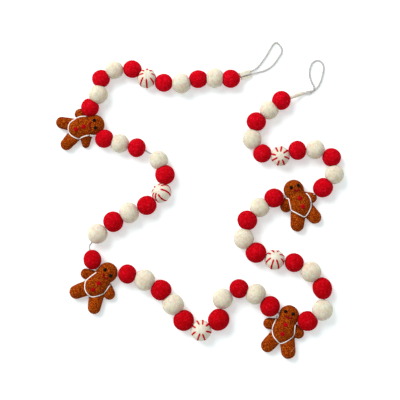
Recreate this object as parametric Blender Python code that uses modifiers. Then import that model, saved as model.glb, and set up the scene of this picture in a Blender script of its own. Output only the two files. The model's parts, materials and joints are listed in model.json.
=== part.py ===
"""A garland of wool-felt balls and gingerbread figures, threaded on one cotton string.

It lies flat on a surface, laid out in three swinging rows, and each end of the string is a hanging loop.
Metres, +Z up. The surface is z = 0, and the origin is below the middle of the beads.
"""

import math
from collections import namedtuple

import bmesh
import bpy
from mathutils import Matrix, Vector
from mathutils.bvhtree import BVHTree

MM = 0.001

# Driving sizes
GAP = 0.3 * MM
STRING_RADIUS = 1.2 * MM
BORE_RADIUS = 1.65 * MM
FLAT_DEPTH = 1.1 * MM
LUMPINESS = 0.025
# For each axis: the pace of the waves that make a ball uneven, and their shift from one ball to the next
LUMP_WAVES = ((3.0, 1.3), (3.6, 2.1), (2.7, 0.7))
# A ball's segments round and down; its corners stand out a little so that its flat facets don't shrink it
BALL_SEGMENTS = (11, 8)
CORNER_SWELL = 1.015
# Directions lower than this end on the surface: the flat spot under a ball
FLAT_BELOW = -0.9
LAYOUT_CENTRE = Vector((0.0, 1.5, 0.0)) * MM

# Which bead is which: the pattern repeats every twelve beads
REPEAT = 12
PEPPERMINT_AT = 6

# Each ball: its centre, its width across the string and its length along it, in millimetres
Ball = namedtuple("Ball", "x y across along")
# The point of the string inside a figure's neck, in millimetres
Neck = namedtuple("Neck", "x y")

BEADS = (
    # along the top, from the tab to the left
    Ball(46.0, 197.0, 27.0, 28.0),
    Ball(22.5, 198.0, 29.0, 28.0),
    Ball(-2.5, 196.5, 26.5, 28.0),
    Ball(-28.0, 190.0, 30.5, 28.0),
    Ball(-54.5, 191.0, 26.5, 27.0),
    Ball(-80.0, 197.5, 29.0, 28.0),
    Ball(-101.5, 211.5, 26.5, 28.0),
    Ball(-128.5, 210.0, 26.5, 27.0),
    Ball(-148.5, 197.0, 26.5, 27.0),
    Ball(-153.0, 173.5, 28.5, 28.5),
    Ball(-165.0, 154.0, 27.0, 27.0),
    Neck(-163.5, 129.0),
    # back to the middle
    Ball(-143.5, 107.0, 28.0, 27.0),
    Ball(-120.5, 100.0, 28.0, 27.5),
    Ball(-95.0, 93.5, 28.5, 27.0),
    Ball(-62.0, 75.0, 28.5, 28.5),
    Ball(-52.5, 53.0, 29.5, 29.5),
    Ball(-58.0, 26.0, 28.0, 30.0),
    # down to the left
    Ball(-80.0, 7.0, 28.5, 29.5),
    Ball(-106.5, -4.0, 31.0, 29.0),
    Ball(-130.0, -17.5, 30.5, 30.0),
    Ball(-154.0, -35.5, 30.0, 30.0),
    Ball(-161.5, -74.5, 26.5, 29.5),
    Neck(-145.5, -100.5),
    # along the bottom
    Ball(-109.0, -96.0, 29.0, 28.0),
    Ball(-83.0, -105.0, 32.0, 31.0),
    Ball(-58.5, -120.0, 31.0, 31.5),
    Ball(-40.5, -141.5, 31.5, 32.0),
    Ball(-24.5, -165.5, 31.0, 31.0),
    Ball(1.5, -180.5, 31.0, 31.0),
    Ball(28.0, -164.5, 31.5, 33.5),
    Ball(34.0, -133.0, 30.5, 30.5),
    Ball(58.5, -118.0, 29.0, 28.5),
    Ball(83.5, -126.0, 32.0, 29.5),
    Ball(105.0, -144.5, 31.0, 30.0),
    Neck(132.0, -163.5),
    # up the right side and back to the middle
    Ball(161.5, -166.5, 30.0, 30.0),
    Ball(183.5, -150.0, 30.5, 31.5),
    Ball(183.5, -117.5, 29.0, 33.0),
    Ball(166.5, -92.5, 31.0, 30.5),
    Ball(141.5, -79.0, 28.0, 29.0),
    Ball(112.0, -74.5, 30.0, 29.5),
    Ball(84.0, -64.0, 31.0, 31.0),
    Ball(65.5, -43.0, 30.5, 31.0),
    Ball(71.0, -15.5, 30.0, 29.0),
    Ball(89.5, 4.0, 29.0, 29.0),
    Ball(111.0, 18.0, 28.0, 29.0),
    Neck(144.0, 21.0),
    # round the right edge and back to the top
    Ball(184.5, 33.5, 28.5, 30.5),
    Ball(201.5, 53.5, 29.0, 28.5),
    Ball(197.5, 79.0, 28.0, 28.0),
    Ball(173.0, 91.0, 29.5, 27.5),
    Ball(146.0, 89.5, 28.5, 27.0),
    Ball(120.5, 81.0, 29.0, 28.5),
    Ball(93.5, 85.0, 27.5, 27.5),
    Ball(78.0, 106.5, 28.0, 30.0),
    Ball(84.5, 132.5, 28.5, 28.5),
    Ball(103.5, 150.0, 28.0, 28.0),
    Ball(122.0, 164.5, 28.0, 28.5),
)

# Where the string shows between two beads, its way from one to the next, in millimetres
BENDS = {
    12: ((-163.5, 110.0, 10.0), (-155.5, 108.5, 11.0)),
    15: ((-78.0, 87.0, 11.0),),
    22: ((-162.5, -48.5, 11.0), (-166.0, -53.5, 9.0), (-165.5, -59.5, 10.0)),
    48: ((164.5, 20.0, 9.0),),
}

# Each figure lies on its back, its parts placed in millimetres. Each end of a limb has its own radius
Figure = namedtuple("Figure", "head belly limbs")
Limb = namedtuple("Limb", "tip root")
FIGURES = {
    12: Figure((-158.5, 127.0), (-176.5, 124.0), (
        Limb((-180.2, 144.0, 8.0), (-174.5, 135.0, 8.0)),
        Limb((-171.8, 98.6, 5.2), (-171.4, 111.0, 9.0)),
        Limb((-207.8, 131.3, 8.6), (-190.0, 127.5, 9.8)),
        Limb((-200.8, 98.8, 8.8), (-188.0, 112.5, 9.8)),
    )),
    24: Figure((-139.0, -94.0), (-155.5, -111.0), (
        Limb((-171.4, -95.8, 7.8), (-160.5, -96.5, 5.4)),
        Limb((-136.3, -126.2, 8.5), (-138.0, -115.0, 5.4)),
        Limb((-185.6, -123.0, 10.6), (-168.5, -116.5, 11.4)),
        Limb((-159.0, -146.6, 9.8), (-155.5, -128.5, 11.6)),
    )),
    36: Figure((133.8, -156.8), (127.0, -178.0), (
        Limb((103.6, -170.5, 8.3), (115.0, -172.0, 9.0)),
        Limb((148.3, -185.4, 8.0), (139.5, -177.0, 7.2)),
        Limb((101.7, -203.6, 10.0), (115.0, -189.5, 10.8)),
        Limb((132.8, -212.8, 10.6), (131.0, -194.5, 11.2)),
    )),
    48: Figure((140.2, 31.2), (149.5, 10.0), (
        Limb((129.2, 5.2, 8.6), (131.5, 14.5, 6.0)),
        Limb((168.0, 18.2, 7.6), (157.5, 19.5, 7.8)),
        Limb((146.2, -22.4, 9.9), (147.8, -4.0, 11.2)),
        Limb((172.4, -10.8, 9.7), (161.0, 2.0, 10.4)),
    )),
}
NECK_HEIGHT = 10.0 * MM
HEAD_RADII = (15.2 * MM, 14.9 * MM, 12.0 * MM)
BELLY_RADII = (22.0 * MM, 16.5 * MM, 12.5 * MM)
HEAD_HEIGHT = 11.0 * MM
BELLY_HEIGHT = 11.0 * MM
# How high a limb's tip lies, as a share of its radius. Its root lies lower, under the rim of the belly
TIP_HEIGHT = 0.82
ROOT_HEIGHT = 7.0 * MM
ELLIPSOID_SEGMENTS = (24, 16)
FIGURE_VOXEL = 3.0 * MM
SOFTENING = 4
FIGURE_TRIANGLES = 540
PRESSED_IN = 0.35 * MM
# Points of a figure's skin lower than this are brought down to the surface
LEVEL_BELOW = 0.5 * MM

# The icing cord runs round the belly, from one side of the neck to the other
ICING_RADIUS = 0.9 * MM
ICING_INSET = 0.95
ICING_END = math.radians(122)
ICING_POINTS = 15

# The folded tab at the first ball: two layers, and the fold along its upper side
TAB_START = Vector((60.2, 201.5, 8.0)) * MM
TAB_END = Vector((75.6, 206.8, 3.5)) * MM
TAB_THICKNESS = 1.6 * MM
TAB_SPACE = 2.4 * MM
TAB_UPPER_EDGE = -3.0 * MM
TAB_LOWER_EDGE = -6.4 * MM
TAB_FOLD = 4.6 * MM
TAB_FOLD_STEPS = 4

# Points of the first loop, in millimetres, from the tab and back into it
FIRST_LOOP = (
    (70.5, 205.6, 5.0), (76.5, 208.2, 3.6), (83.1, 211.2, 2.0), (90.7, 218.2, 1.3), (97.8, 227.1, 1.3),
    (105.7, 241.2, 1.3), (110.2, 248.2, 1.3), (113.9, 250.7, 1.3), (118.5, 246.8, 1.3),
    (122.2, 239.3, 1.3), (121.8, 232.5, 1.3), (117.0, 225.0, 1.3), (109.8, 217.0, 1.3),
    (99.2, 210.8, 1.3), (88.4, 206.6, 1.8), (77.6, 204.6, 3.6), (70.5, 202.8, 5.0),
)

# The doubled end of the string at the last ball: its way and its radius, in millimetres
DOUBLED_END = (
    (135.6, 166.4, 12.0, 1.2), (137.4, 166.9, 11.3, 2.2), (144.5, 170.0, 7.4, 2.6),
    (151.5, 172.9, 4.0, 2.4), (157.5, 175.5, 2.6, 2.2), (164.4, 176.9, 2.2, 2.0), (171.0, 179.2, 2.0, 1.9),
    (174.5, 181.4, 1.8, 1.6),
)

# Points of the second loop, in millimetres, out of the doubled end and back into it
SECOND_LOOP = (
    (168.0, 178.2, 1.9), (174.3, 181.0, 1.7), (178.5, 186.0, 1.3), (181.5, 192.5, 1.3), (184.4, 202.5, 1.3),
    (186.0, 213.0, 1.3), (182.5, 221.2, 1.3), (175.7, 223.9, 1.3), (168.8, 220.0, 1.3),
    (165.0, 210.8, 1.3), (165.2, 200.3, 1.3), (168.2, 191.3, 1.3), (171.8, 184.6, 1.5), (172.8, 180.6, 1.8),
)
LOOP_STEP = 6.5 * MM

# How finely curves are cut up: a spline's parts, and a tube's detail round for cords and for cutters
SPLINE_PARTS = 12
CORD_DETAIL = 2
CUTTER_DETAIL = 1
WELD = 0.02 * MM

# Colours and roughness of the materials
Finish = namedtuple("Finish", "colour roughness")
FINISHES = {
    "red": Finish((0.50, 0.003, 0.014), 0.95),
    "cream": Finish((0.70, 0.65, 0.52), 0.95),
    "peppermint": Finish((0.74, 0.69, 0.57), 0.95),
    "gingerbread": Finish((0.25, 0.045, 0.004), 0.95),
    "string": Finish((0.70, 0.67, 0.61), 0.9),
}


def clear_scene():
    for obj in list(bpy.data.objects):
        bpy.data.objects.remove(obj, do_unlink=True)


def new_collection(name):
    collection = bpy.data.collections.new(name)
    bpy.context.scene.collection.children.link(collection)
    return collection


def new_material(name, finish):
    material = bpy.data.materials.new(name)
    material.use_nodes = True
    shader = material.node_tree.nodes["Principled BSDF"]
    shader.inputs["Base Color"].default_value = (*finish.colour, 1.0)
    shader.inputs["Roughness"].default_value = finish.roughness
    shader.inputs["Metallic"].default_value = 0.0
    return material


def placed(*millimetres):
    """A point of the layout, in metres from the origin."""
    return Vector(millimetres) * MM - LAYOUT_CENTRE


def kind_of(number):
    """What bead this is, counted from 1 at the tab."""
    if number % REPEAT == 0:
        return "gingerbread"
    if number % REPEAT == PEPPERMINT_AT:
        return "peppermint"
    return "red" if number % 2 else "cream"


def bead_centre(number):
    bead = BEADS[number - 1]
    if isinstance(bead, Neck):
        return placed(bead.x, bead.y, NECK_HEIGHT / MM)
    return placed(bead.x, bead.y, bead.across / 2 - FLAT_DEPTH / MM)


def threaded_route():
    """The string's way through every bead, straight from one centre to the next."""
    points = []
    for number in range(1, len(BEADS) + 1):
        points.append(bead_centre(number))
        points.extend(placed(*bend) for bend in BENDS.get(number, ()))
    return points


def smooth_route(points, step):
    """Points at even steps on a smooth curve through the given ones."""
    padded = [2 * points[0] - points[1], *points, 2 * points[-1] - points[-2]]
    fine = []
    for before, start, end, after in zip(padded, padded[1:], padded[2:], padded[3:]):
        for part in range(SPLINE_PARTS):
            t = part / SPLINE_PARTS
            fine.append(
                0.5 * (2 * start + (end - before) * t + (2 * before - 5 * start + 4 * end - after) * t**2
                       + (3 * start - 3 * end + after - before) * t**3)
            )
    fine.append(points[-1])
    length = sum((b - a).length for a, b in zip(fine, fine[1:]))
    count = round(length / step)
    even = [fine[0]]
    walked = 0.0
    for a, b in zip(fine, fine[1:]):
        walked += (b - a).length
        while walked >= len(even) * length / count and len(even) < count:
            even.append(b.copy())
    even.append(fine[-1])
    return even


def mesh_object(name, bm, collection, material=None):
    bmesh.ops.recalc_face_normals(bm, faces=bm.faces)
    mesh = bpy.data.meshes.new(name)
    bm.to_mesh(mesh)
    bm.free()
    obj = bpy.data.objects.new(name, mesh)
    collection.objects.link(obj)
    if material:
        mesh.materials.append(material)
    return obj


def as_mesh(obj, collection):
    """The object's evaluated shape as a mesh object of its own, in place of the first one."""
    bpy.context.view_layer.update()
    graph = bpy.context.evaluated_depsgraph_get()
    mesh = bpy.data.meshes.new_from_object(obj.evaluated_get(graph))
    name, matrix = obj.name, obj.matrix_world.copy()
    bpy.data.objects.remove(obj, do_unlink=True)
    bm = bmesh.new()
    bm.from_mesh(mesh)
    bpy.data.meshes.remove(mesh)
    bmesh.ops.remove_doubles(bm, verts=bm.verts, dist=WELD)
    made = mesh_object(name, bm, collection)
    made.matrix_world = matrix
    return made


def tube(name, points, radii, resolution, collection):
    """A tube along straight runs between the points, with closed ends."""
    curve = bpy.data.curves.new(name, "CURVE")
    curve.dimensions = "3D"
    curve.bevel_depth = max(radii)
    curve.bevel_resolution = resolution
    curve.use_fill_caps = True
    spline = curve.splines.new("POLY")
    spline.points.add(len(points) - 1)
    for item, point, radius in zip(spline.points, points, radii):
        item.co = (*point, 1.0)
        item.radius = radius / max(radii)
    obj = bpy.data.objects.new(name, curve)
    collection.objects.link(obj)
    return as_mesh(obj, collection)


def as_cutter(obj):
    obj.hide_render = True
    obj.display_type = "WIRE"
    return obj


def add_boolean(obj, operation, other):
    modifier = obj.modifiers.new(f"{operation.lower()} {other.name}", "BOOLEAN")
    modifier.operation = operation
    modifier.solver = "EXACT"
    modifier.object = other


def lump(direction, number):
    """How much farther out than a true ellipsoid a hand-rolled ball is in this direction."""
    waves = [math.sin(pace * part + shift * number) for part, (pace, shift) in zip(direction, LUMP_WAVES)]
    return 1 + LUMPINESS * sum(waves) / len(waves)


def contact_planes(number):
    """A point and an outward direction for each neighbouring ball that this one is pressed against."""
    here = BEADS[number - 1]
    centre = bead_centre(number)
    planes = []
    for other in (number - 1, number + 1):
        if not 1 <= other <= len(BEADS):
            continue
        if isinstance(BEADS[other - 1], Neck) or min(number, other) in BENDS:
            continue
        across = bead_centre(other) - centre
        own, its = here.along / 2 * MM, BEADS[other - 1].along / 2 * MM
        reach = (across.length_squared + own**2 - its**2) / (2 * across.length)
        outward = across.normalized()
        planes.append((centre + outward * (reach - GAP / 2), outward))
    return planes


def string_direction(number):
    """The level direction in which the string runs through a bead."""
    first = bead_centre(max(number - 1, 1))
    last = bead_centre(min(number + 1, len(BEADS)))
    return (last - first).to_2d().normalized().to_3d()


def make_ball(number, collection, material):
    """A felt ball, pressed flat against its neighbours and where it rests."""
    ball = BEADS[number - 1]
    centre = bead_centre(number)
    along = string_direction(number)
    across = Vector((0, 0, 1)).cross(along)
    planes = contact_planes(number)
    bm = bmesh.new()
    bmesh.ops.create_uvsphere(bm, u_segments=BALL_SEGMENTS[0], v_segments=BALL_SEGMENTS[1], radius=1.0)
    for vert in bm.verts:
        outward = vert.co.normalized()
        reach = lump(outward, number) * CORNER_SWELL * MM / 2
        point = centre + along * outward.dot(along) * ball.along * reach
        point += across * outward.dot(across) * ball.across * reach
        point.z += outward.z * ball.across * reach
        for on_plane, normal in planes:
            past = (point - on_plane).dot(normal)
            if past > 0:
                point -= normal * past
        if outward.z < FLAT_BELOW:
            point.z = 0.0
        vert.co = point
    obj = mesh_object(f"bead_{number:02d}_{kind_of(number)}", bm, collection, material)
    obj.data.shade_smooth()
    return obj


def add_ellipsoid(bm, centre, radii, turn):
    matrix = Matrix.LocRotScale(centre, Matrix.Rotation(turn, 3, "Z"), Vector(radii))
    round_it, down_it = ELLIPSOID_SEGMENTS
    bmesh.ops.create_uvsphere(bm, u_segments=round_it, v_segments=down_it, radius=1.0, matrix=matrix)


def add_limb(bm, limb):
    """An arm or a leg: the skin round a ball at its tip and a flatter one at its root."""
    around = bmesh.new()
    x, y, radius = limb.tip
    add_ellipsoid(around, placed(x, y, TIP_HEIGHT * radius), (radius * MM,) * 3, 0.0)
    x, y, radius = limb.root
    flat = min(radius * MM, ROOT_HEIGHT)
    add_ellipsoid(around, placed(x, y, ROOT_HEIGHT / MM), (radius * MM, radius * MM, flat), 0.0)
    hull = bmesh.ops.convex_hull(around, input=around.verts)
    bmesh.ops.delete(around, geom=hull["geom_interior"], context="VERTS")
    mesh = bpy.data.meshes.new("limb")
    around.to_mesh(mesh)
    around.free()
    bm.from_mesh(mesh)
    bpy.data.meshes.remove(mesh)


def fused_figure(number, collection):
    """The figure's body as one skin round its head, belly, arms and legs."""
    figure = FIGURES[number]
    head = placed(*figure.head, HEAD_HEIGHT / MM)
    belly = placed(*figure.belly, BELLY_HEIGHT / MM)
    upright = head - belly
    turn = math.atan2(upright.y, upright.x)
    bm = bmesh.new()
    add_ellipsoid(bm, head, HEAD_RADII, turn)
    add_ellipsoid(bm, belly, BELLY_RADII, turn)
    for limb in figure.limbs:
        add_limb(bm, limb)
    obj = mesh_object(f"bead_{number:02d}_gingerbread", bm, collection)
    remesh = obj.modifiers.new("fuse", "REMESH")
    remesh.mode = "VOXEL"
    remesh.voxel_size = FIGURE_VOXEL
    smooth = obj.modifiers.new("soften", "SMOOTH")
    smooth.iterations = SOFTENING
    fused = as_mesh(obj, collection)
    decimate = fused.modifiers.new("thin out", "DECIMATE")
    decimate.ratio = FIGURE_TRIANGLES / (2 * len(fused.data.polygons))
    return as_mesh(fused, collection)


def press_figure(obj, number):
    """Flattens the figure where it rests, and dents it where the balls beside it press in."""
    for vert in obj.data.vertices:
        point = vert.co.copy()
        for other in (number - 1, number + 1):
            ball = BEADS[other - 1]
            clear = max(ball.across, ball.along) / 2 * MM * (1 + LUMPINESS) + GAP + PRESSED_IN
            outward = point - bead_centre(other)
            if outward.length < clear:
                point = bead_centre(other) + outward.normalized() * clear
        if point.z < LEVEL_BELOW:
            point.z = 0.0
        vert.co = point


def icing_route(obj, number):
    """The icing cord's way round the belly, on the figure's skin."""
    figure = FIGURES[number]
    belly = placed(*figure.belly, 0)
    down = (belly - placed(*figure.head, 0)).normalized()
    side = Vector((0, 0, 1)).cross(down)
    bm = bmesh.new()
    bm.from_mesh(obj.data)
    skin = BVHTree.FromBMesh(bm)
    bm.free()
    points = []
    for step in range(ICING_POINTS):
        angle = ICING_END * (2 * step / (ICING_POINTS - 1) - 1)
        point = belly + down * math.cos(angle) * BELLY_RADII[0] * ICING_INSET
        point += side * math.sin(angle) * BELLY_RADII[1] * ICING_INSET
        points.append(skin.ray_cast(point + Vector((0, 0, 1)), Vector((0, 0, -1)))[0])
    return points


def make_figure(number, collection, cutters, material):
    obj = fused_figure(number, collection)
    press_figure(obj, number)
    obj.data.materials.append(material)
    obj.data.shade_smooth()
    points = icing_route(obj, number)
    icing = as_cutter(tube(f"icing_{number}", points, [ICING_RADIUS] * len(points), CUTTER_DETAIL, cutters))
    add_boolean(obj, "UNION", icing)
    return obj


def make_tab(cutters):
    """The folded tab: its section is drawn flat, then stood square to the way in which it runs."""
    top = 2 * TAB_THICKNESS + TAB_SPACE
    middle = top / 2
    outline = [(TAB_LOWER_EDGE, -middle), (TAB_FOLD - middle, -middle)]
    for step in range(1, TAB_FOLD_STEPS):
        angle = math.pi * (step / TAB_FOLD_STEPS - 0.5)
        outline.append((TAB_FOLD - middle + middle * math.cos(angle), middle * math.sin(angle)))
    outline += [
        (TAB_FOLD - middle, middle), (TAB_UPPER_EDGE, middle),
        (TAB_UPPER_EDGE, TAB_SPACE / 2), (TAB_FOLD - middle, TAB_SPACE / 2),
        (TAB_FOLD - middle, -TAB_SPACE / 2), (TAB_LOWER_EDGE, -TAB_SPACE / 2),
    ]
    curve = bpy.data.curves.new("tab", "CURVE")
    curve.dimensions = "2D"
    curve.fill_mode = "BOTH"
    curve.extrude = (TAB_END - TAB_START).length / 2
    spline = curve.splines.new("POLY")
    spline.points.add(len(outline) - 1)
    for item, (across, up) in zip(spline.points, outline):
        item.co = (across, up, 0.0, 1.0)
    spline.use_cyclic_u = True
    obj = bpy.data.objects.new("tab", curve)
    cutters.objects.link(obj)
    run = (TAB_END - TAB_START).normalized()
    across = Vector((0, 0, 1)).cross(run).normalized()
    up = run.cross(across)
    turned = Matrix((across, up, run)).transposed().to_4x4()
    obj.matrix_world = Matrix.Translation((TAB_START + TAB_END) / 2 - LAYOUT_CENTRE) @ turned
    return as_mesh(obj, cutters)


def make_string(collection, cutters, material):
    """The string through every bead, with the tab and both hanging loops."""
    in_tab = (TAB_START * 2 + TAB_END) / 3 - LAYOUT_CENTRE
    end = [placed(*point[:3]) for point in DOUBLED_END]
    points = [in_tab, *threaded_route(), *end]
    radii = [STRING_RADIUS] * (len(points) - len(end)) + [point[3] * MM for point in DOUBLED_END]
    string = tube("string", points, radii, CORD_DETAIL, collection)
    string.data.materials.append(material)
    string.data.shade_smooth()
    parts = [make_tab(cutters)]
    for name, loop in (("first_loop", FIRST_LOOP), ("second_loop", SECOND_LOOP)):
        route = smooth_route([placed(*point) for point in loop], LOOP_STEP)
        parts.append(tube(name, route, [STRING_RADIUS] * len(route), CORD_DETAIL, cutters))
    for part in parts:
        add_boolean(string, "UNION", as_cutter(part))


def make_bore(cutters):
    """What drills the beads: the string's way again, a little wider."""
    points = [TAB_START - LAYOUT_CENTRE, *threaded_route(), placed(*DOUBLED_END[0][:3])]
    return as_cutter(tube("bore", points, [BORE_RADIUS] * len(points), CUTTER_DETAIL, cutters))


def main():
    clear_scene()
    garland = new_collection("felt_gingerbread_garland")
    cutters = new_collection("cutters")
    materials = {name: new_material(name, finish) for name, finish in FINISHES.items()}
    bore = make_bore(cutters)
    for number in range(1, len(BEADS) + 1):
        kind = kind_of(number)
        if kind == "gingerbread":
            bead = make_figure(number, garland, cutters, materials[kind])
        else:
            bead = make_ball(number, garland, materials[kind])
        add_boolean(bead, "DIFFERENCE", bore)
    make_string(garland, cutters, materials["string"])


main()
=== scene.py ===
"""The look of the felt garland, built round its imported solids.

Metres, +Z up. The garland lies on the floor z = 0, with its two hanging loops towards +Y.
"""

import json
import math
from collections import namedtuple

import bmesh
import bpy
import numpy as np
from mathutils import Matrix, Vector, noise
from mathutils.bvhtree import BVHTree

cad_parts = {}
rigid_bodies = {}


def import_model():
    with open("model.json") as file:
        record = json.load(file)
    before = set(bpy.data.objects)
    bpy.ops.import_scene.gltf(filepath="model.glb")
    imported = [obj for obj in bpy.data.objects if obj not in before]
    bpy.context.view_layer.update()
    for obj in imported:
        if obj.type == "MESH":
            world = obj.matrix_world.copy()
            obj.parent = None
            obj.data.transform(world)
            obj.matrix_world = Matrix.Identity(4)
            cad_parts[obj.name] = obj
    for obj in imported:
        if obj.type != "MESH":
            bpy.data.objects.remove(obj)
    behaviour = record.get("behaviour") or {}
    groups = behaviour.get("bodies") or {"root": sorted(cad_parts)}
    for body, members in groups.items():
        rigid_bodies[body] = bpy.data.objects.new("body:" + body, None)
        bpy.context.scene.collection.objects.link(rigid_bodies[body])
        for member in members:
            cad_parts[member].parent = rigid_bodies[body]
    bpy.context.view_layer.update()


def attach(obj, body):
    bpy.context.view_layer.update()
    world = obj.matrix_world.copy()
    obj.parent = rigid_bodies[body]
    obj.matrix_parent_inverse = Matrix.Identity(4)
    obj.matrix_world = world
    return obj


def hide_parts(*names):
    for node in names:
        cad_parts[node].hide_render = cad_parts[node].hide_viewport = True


MM = 0.001
UP = np.array((0.0, 0.0, 1.0))

for old in list(bpy.data.objects):
    bpy.data.objects.remove(old, do_unlink=True)
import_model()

# The camera looks straight down, and the picture is 600 mm across at the middle of the beads
CAMERA_HEIGHT = 3.0
BEAD_LEVEL = 0.014
PICTURE_WIDTH = 0.6
PICTURE_PIXELS = 400
PICTURE_CENTRE = (0.0, 0.0135)
SENSOR = 36.0

# The light: one large soft lamp up to the left, a pale surround, and a white floor with a faint glow
KEY_FROM = (-0.7, 0.85, 1.0)
KEY_DISTANCE = 8.0
KEY_SIZE = 5.8
KEY_POWER = 650.0
SURROUND = 0.56
FLOOR_SIZE = 12.0
FLOOR_COLOUR = (0.85, 0.948, 0.956)
FLOOR_GLOW = 0.31
FLOOR_DROP = 0.02 * MM

# The layout of the solids, whose pattern repeats every twelve beads
LAYOUT_CENTRE = (0.0, 1.5)
REPEAT = 12
PEPPERMINT_AT = 6

# Each ball: its centre, its width across the string and its length along it, in millimetres
Ball = namedtuple("Ball", "x y across along")
# The point of the string inside a figure's neck, in millimetres
Neck = namedtuple("Neck", "x y")
BEADS = [Ball(*bead) if len(bead) == 4 else Neck(*bead) for bead in (
    (46, 197, 27, 28), (22.5, 198, 29, 28), (-2.5, 196.5, 26.5, 28), (-28, 190, 30.5, 28),
    (-54.5, 191, 26.5, 27), (-80, 197.5, 29, 28), (-101.5, 211.5, 26.5, 28), (-128.5, 210, 26.5, 27),
    (-148.5, 197, 26.5, 27), (-153, 173.5, 28.5, 28.5), (-165, 154, 27, 27), (-163.5, 129),
    (-143.5, 107, 28, 27), (-120.5, 100, 28, 27.5), (-95, 93.5, 28.5, 27), (-62, 75, 28.5, 28.5),
    (-52.5, 53, 29.5, 29.5), (-58, 26, 28, 30), (-80, 7, 28.5, 29.5), (-106.5, -4, 31, 29),
    (-130, -17.5, 30.5, 30), (-154, -35.5, 30, 30), (-161.5, -74.5, 26.5, 29.5), (-145.5, -100.5),
    (-109, -96, 29, 28), (-83, -105, 32, 31), (-58.5, -120, 31, 31.5), (-40.5, -141.5, 31.5, 32),
    (-24.5, -165.5, 31, 31), (1.5, -180.5, 31, 31), (28, -164.5, 31.5, 33.5), (34, -133, 30.5, 30.5),
    (58.5, -118, 29, 28.5), (83.5, -126, 32, 29.5), (105, -144.5, 31, 30), (132, -163.5),
    (161.5, -166.5, 30, 30), (183.5, -150, 30.5, 31.5), (183.5, -117.5, 29, 33), (166.5, -92.5, 31, 30.5),
    (141.5, -79, 28, 29), (112, -74.5, 30, 29.5), (84, -64, 31, 31), (65.5, -43, 30.5, 31),
    (71, -15.5, 30, 29), (89.5, 4, 29, 29), (111, 18, 28, 29), (144, 21), (184.5, 33.5, 28.5, 30.5),
    (201.5, 53.5, 29, 28.5), (197.5, 79, 28, 28), (173, 91, 29.5, 27.5), (146, 89.5, 28.5, 27),
    (120.5, 81, 29, 28.5), (93.5, 85, 27.5, 27.5), (78, 106.5, 28, 30), (84.5, 132.5, 28.5, 28.5),
    (103.5, 150, 28, 28), (122, 164.5, 28, 28.5),
)]
# Points that the string passes after a bead, where it leaves the straight way to the next
BENDS = {
    12: ((-164.2, 112.6, 15.8), (-160.2, 111.2, 16.2), (-155.4, 109.4, 14.4)),
    15: ((-78, 87, 11),),
    22: ((-162.5, -48.5, 11), (-166, -53.5, 9), (-165.5, -59.5, 10)),
    48: ((164.5, 20, 9),),
}

# Each figure lies on its back: its head, its belly and its limbs in millimetres. A limb has a tip and a root,
# each with the place and radius of its end
FIGURES = {
    12: ((-158.8, 128), (-176.5, 124), (
        ((-180.2, 144, 8), (-174.5, 135, 8)),
        ((-171.8, 98.6, 5.2), (-171.4, 111, 9)),
        ((-207.8, 131.3, 8.6), (-190, 127.5, 9.8)),
        ((-200.8, 98.8, 8.8), (-188, 112.5, 9.8)),
    )),
    24: ((-139, -94), (-155.5, -111), (
        ((-171.4, -95.8, 7.8), (-160.5, -96.5, 5.4)),
        ((-136.3, -126.2, 8.5), (-138, -115, 5.4)),
        ((-185.8, -123.2, 10.2), (-168.5, -116.7, 11)),
        ((-159, -146.6, 9.5), (-155.5, -128.5, 11.1)),
    )),
    36: ((133.6, -158.3), (127, -178), (
        ((103.6, -170.5, 8.3), (115, -172, 9)),
        ((148.3, -185.4, 8), (139.5, -177, 7.2)),
        ((101.7, -203.6, 10), (115, -189.5, 10.8)),
        ((132.8, -212.8, 10.6), (131, -194.5, 11.2)),
    )),
    48: ((140.8, 30), (149.5, 10), (
        ((129.2, 5.2, 8.6), (131.5, 14.5, 6)),
        ((168, 18.2, 7.6), (157.5, 19.5, 7.8)),
        ((146.2, -22.4, 9.9), (147.8, -4, 11.2)),
        ((172.4, -10.8, 9.7), (161, 2, 10.4)),
    )),
}
NECK_HEIGHT = 10.0 * MM
HEAD_RADII = (15.2 * MM, 14.9 * MM, 12.0 * MM)
BELLY_RADII = (22.0 * MM, 16.5 * MM, 12.5 * MM)
CHEST_RADII = (12.0 * MM, 14.2 * MM, 11.4 * MM)
FIGURE_SWELL = 0.38 * MM
BODY_HEIGHT = 11.0 * MM
TIP_HEIGHT = 0.82
ROOT_HEIGHT = 7.0 * MM

# The folded tab: where it starts and ends, its section, and how uneven its felt is
TAB_START = (60.2, 201.5, 8)
TAB_END = (75.6, 206.8, 3.5)
TAB_SPACE = 2.4 * MM
TAB_THICKNESS = 1.6 * MM
TAB_UPPER_EDGE = -2.0 * MM
TAB_LOWER_EDGE = -6.9 * MM
TAB_FOLD = 5.6 * MM
TAB_GROOVE = 0.55 * MM
TAB_LIP_RISE = 1.9 * MM
TAB_WAVE = 0.16 * MM
TAB_RAGGED = 0.25 * MM
TAB_SQUEEZE = 0.86
TAB_THIN_EDGE = 0.55
TAB_STEPS = 22
TAB_FOLD_STEPS = 8
TAB_BACK_STEPS = 24

# The cords: their radius over all strands, how far apart the points of their ways are, how long a turn of
# their strands is, and how much the strands press into each other
STRANDS = 3
STRAND_PRESS = 1.06
STRING_RADIUS = 1.75 * MM
STRING_START = (62.0, 202.3, 7.2)
STRING_STEP = 0.9 * MM
STRING_PITCH = 6.5 * MM
LOOP_STEP = 0.4 * MM
LOOP_PITCH = 4.2 * MM

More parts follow.
